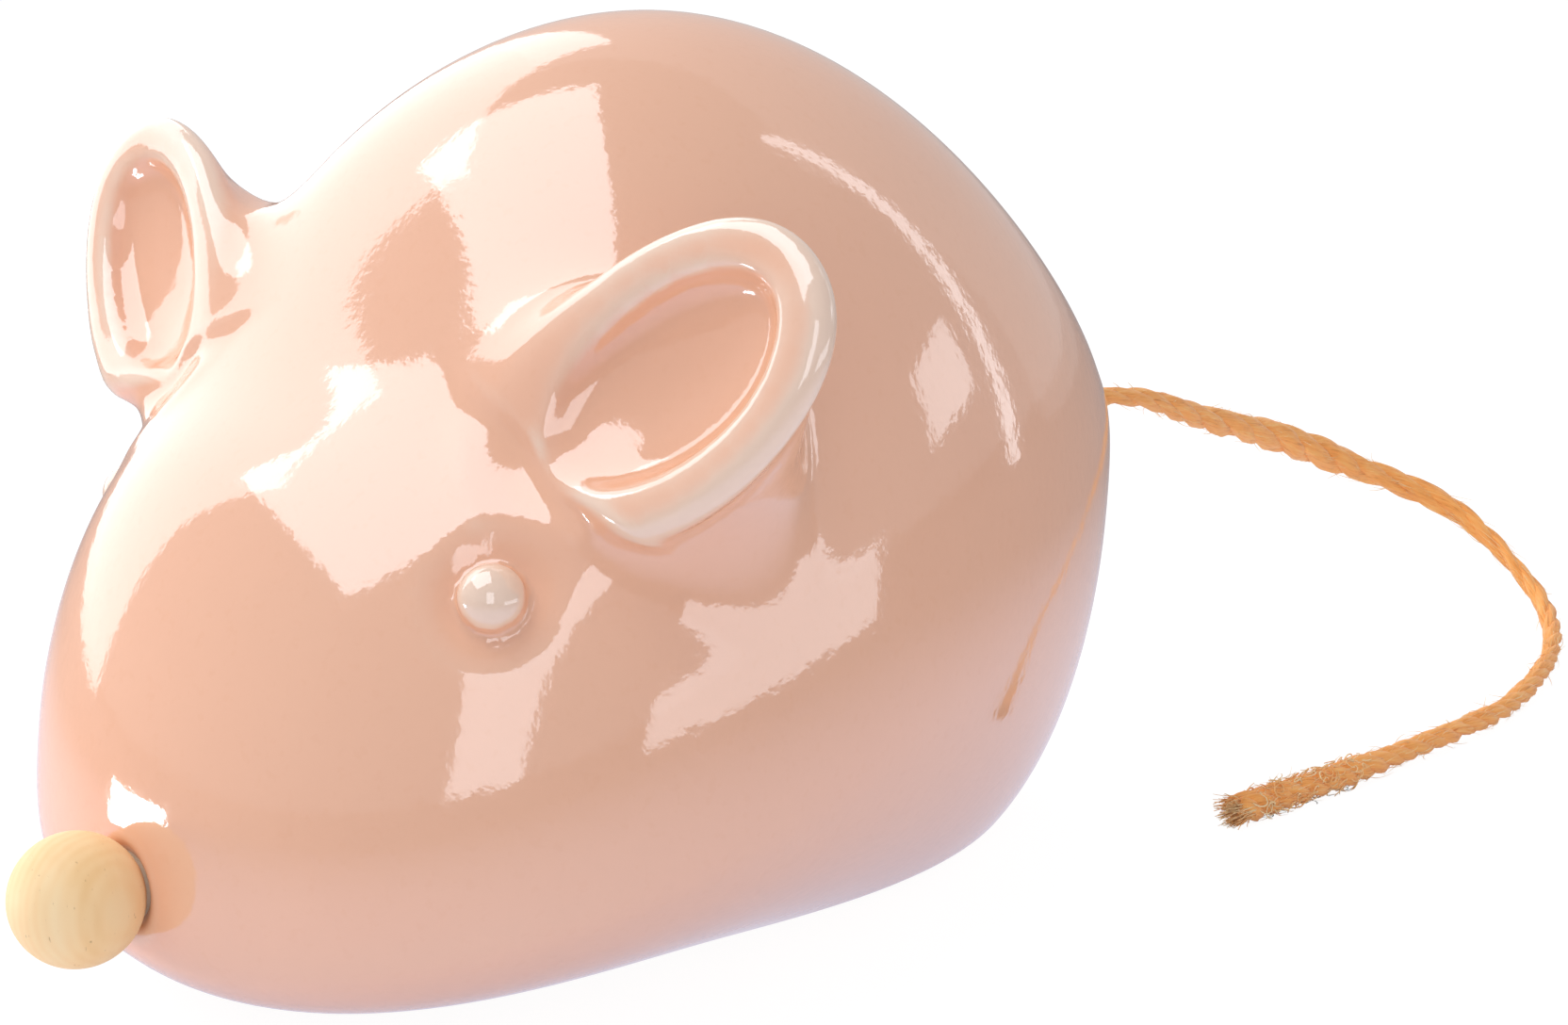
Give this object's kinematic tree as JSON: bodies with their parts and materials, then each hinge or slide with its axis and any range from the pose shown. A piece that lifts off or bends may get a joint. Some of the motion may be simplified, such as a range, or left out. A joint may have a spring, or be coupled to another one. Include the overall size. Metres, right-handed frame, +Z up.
{
  "type": "ceramic mouse figurine",
  "caption": "Hollow glazed ceramic mouse ornament that stands on a flat foot, with cupped ears, bead eyes, a wooden ball nose and a loose jute twine tail.",
  "frame": {"origin": "centre of the bounding box of the mouse without its tail, on the surface that it stands on", "axes": "+Z up, -Y the way the nose points, +X the mouse's left side"},
  "size_m": [0.1312, 0.2768, 0.1082],
  "materials": {
    "glaze": "pearl lustre, high gloss",
    "wood": "unfinished, sanded",
    "glue": "dried wood glue",
    "jute": "twisted jute twine"
  },
  "bodies": {
    "root": {"body_shell": "glaze", "ear_left": "glaze", "ear_right": "glaze", "eye_left": "glaze", "eye_right": "glaze", "nose_ball": "wood", "nose_glue": "glue", "tail_knot": "jute", "tail_cord": "jute"}
  },
  "joints": []
}
